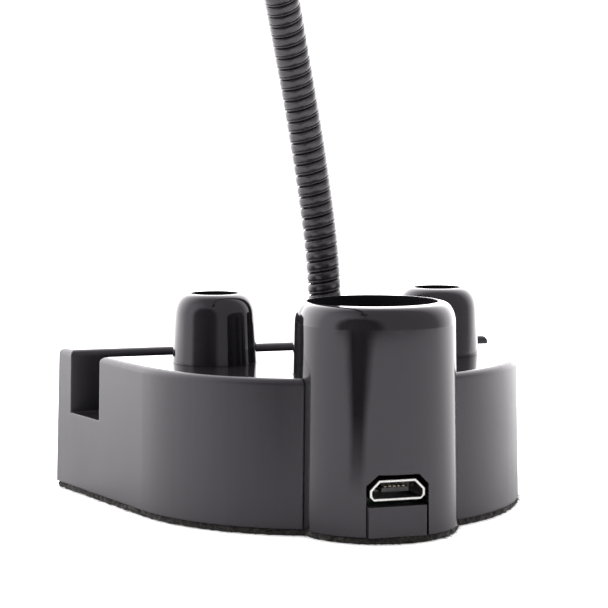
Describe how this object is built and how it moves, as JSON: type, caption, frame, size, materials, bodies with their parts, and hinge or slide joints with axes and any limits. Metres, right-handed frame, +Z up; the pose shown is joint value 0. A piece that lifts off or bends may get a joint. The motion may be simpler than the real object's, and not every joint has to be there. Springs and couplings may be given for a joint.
{
  "type": "helping hand",
  "caption": "Desk helping hand: weighted base with slot, tool cup, two sockets and power inlet; flexible arm with ring lamp and spring clip.",
  "frame": {"origin": "centre of the felt underside, on the axis of the arm's bushing", "axes": "+Z up; -Y towards the tool cup and power inlet; +Y towards the slot; +X to the right seen from the cup side"},
  "size_m": [0.0989, 0.1383, 0.106],
  "materials": {
    "shell_plastic": "satin charcoal ABS, lightly ribbed by the mould",
    "gloss_plastic": "polished charcoal ABS",
    "cover_plastic": "satin charcoal ABS",
    "felt": "black wool felt with a fuzzy edge",
    "ballast_steel": "zinc-plated mild steel",
    "screw_steel": "zinc-plated steel",
    "socket_steel": "bright nickel-plated sheet",
    "socket_black": "black moulded insulator",
    "contact_gold": "gold-plated contacts",
    "board_green": "green solder mask on glass-fibre board",
    "chip_black": "black moulded epoxy",
    "ceramic_part": "fired ceramic with tinned ends",
    "terminal_white": "ivory nylon connector",
    "coil_black": "black-oxide steel strip, satin",
    "lead_black": "soft black insulation",
    "bush_black": "black zinc-plated steel",
    "lamp_black": "black anodised aluminium",
    "lamp_white_board": "white solder mask on aluminium",
    "lamp_clear": "frosted clear acrylic",
    "led_yellow": "phosphor-coated lamp chips",
    "clip_steel": "nickel-plated pressed steel"
  },
  "bodies": {
    "base": {"base_shell": "shell_plastic", "tool_cup": "gloss_plastic", "post_left": "gloss_plastic", "post_right": "gloss_plastic", "post_washers": "screw_steel", "post_screws": "screw_steel", "bottom_cover": "cover_plastic", "cover_screws": "screw_steel", "felt_pad": "felt", "ballast_plate": "ballast_steel", "ballast_screws": "screw_steel", "circuit_board": "board_green", "board_screws": "screw_steel", "driver_chip": "chip_black", "power_choke": "chip_black", "board_capacitors": "ceramic_part", "board_resistors": "ceramic_part", "lead_terminal": "terminal_white", "power_socket_shell": "socket_steel", "power_socket_tongue": "socket_black", "power_socket_contacts": "contact_gold", "arm_bushing": "bush_black", "arm_washer": "screw_steel", "arm_nut": "screw_steel", "arm_coil_root": "coil_black", "arm_lead_root": "lead_black"},
    "arm_1": {"arm_coil_1": "coil_black", "arm_lead_1": "lead_black"},
    "arm_2": {"arm_coil_2": "coil_black", "arm_lead_2": "lead_black"},
    "arm_3": {"arm_coil_3": "coil_black", "arm_lead_3": "lead_black"},
    "arm_4": {"arm_coil_4": "coil_black", "arm_lead_4": "lead_black"},
    "arm_5": {"arm_coil_5": "coil_black", "arm_lead_5": "lead_black"},
    "arm_6": {"arm_coil_6": "coil_black", "arm_lead_6": "lead_black"},
    "head": {"arm_coil_tip": "coil_black", "arm_lead_tip": "lead_black", "arm_ferrule": "bush_black", "ferrule_screw": "screw_steel", "lamp_housing": "lamp_black", "lamp_board": "lamp_white_board", "lamp_window": "lamp_clear", "clip_rod": "clip_steel", "lamp_leds": "led_yellow", "lamp_lead": "lead_black", "clip_lower_jaw": "clip_steel", "clip_pin": "clip_steel", "clip_spring": "clip_steel"},
    "upper_jaw": {"clip_upper_jaw": "clip_steel"}
  },
  "joints": [
    {"name": "arm_bend_1", "type": "hinge", "parent": "base", "child": "arm_1", "pos_m": [0, 0, 0.033], "axis": [0.454, -0.891, 0], "range_deg": [-20, 20]},
    {"name": "arm_bend_2", "type": "hinge", "parent": "arm_1", "child": "arm_2", "pos_m": [-0.00255, -0.0013, 0.04874], "axis": [0.7934, 0.5535, 0.2532], "range_deg": [-20, 20]},
    {"name": "arm_bend_3", "type": "hinge", "parent": "arm_2", "child": "arm_3", "pos_m": [-0.00643, -0.00489, 0.06384], "axis": [0.7997, -0.6004, 0], "range_deg": [-20, 20]},
    {"name": "arm_bend_4", "type": "hinge", "parent": "arm_3", "child": "arm_4", "pos_m": [-0.01109, -0.0111, 0.07784], "axis": [0.4599, 0.6531, 0.6016], "range_deg": [-20, 20]},
    {"name": "arm_bend_5", "type": "hinge", "parent": "arm_4", "child": "arm_5", "pos_m": [-0.01731, -0.02054, 0.08915], "axis": [0.866, -0.5, 0], "range_deg": [-20, 20]},
    {"name": "arm_bend_6", "type": "hinge", "parent": "arm_5", "child": "arm_6", "pos_m": [-0.02444, -0.03289, 0.09641], "axis": [0.1507, 0.2794, 0.9483], "range_deg": [-20, 20]},
    {"name": "arm_bend_7", "type": "hinge", "parent": "arm_6", "child": "head", "pos_m": [-0.03152, -0.04696, 0.09919], "axis": [0.9078, -0.4195, 0], "range_deg": [-20, 20]},
    {"name": "clip_jaw", "type": "hinge", "parent": "head", "child": "upper_jaw", "pos_m": [-0.05245, -0.09225, 0.09573], "axis": [-0.9078, 0.4195, 0], "range_deg": [0, 16], "stiffness_Nm_per_rad": 0.06, "springref_deg": -28.65, "deforming": ["clip_spring"]}
  ]
}
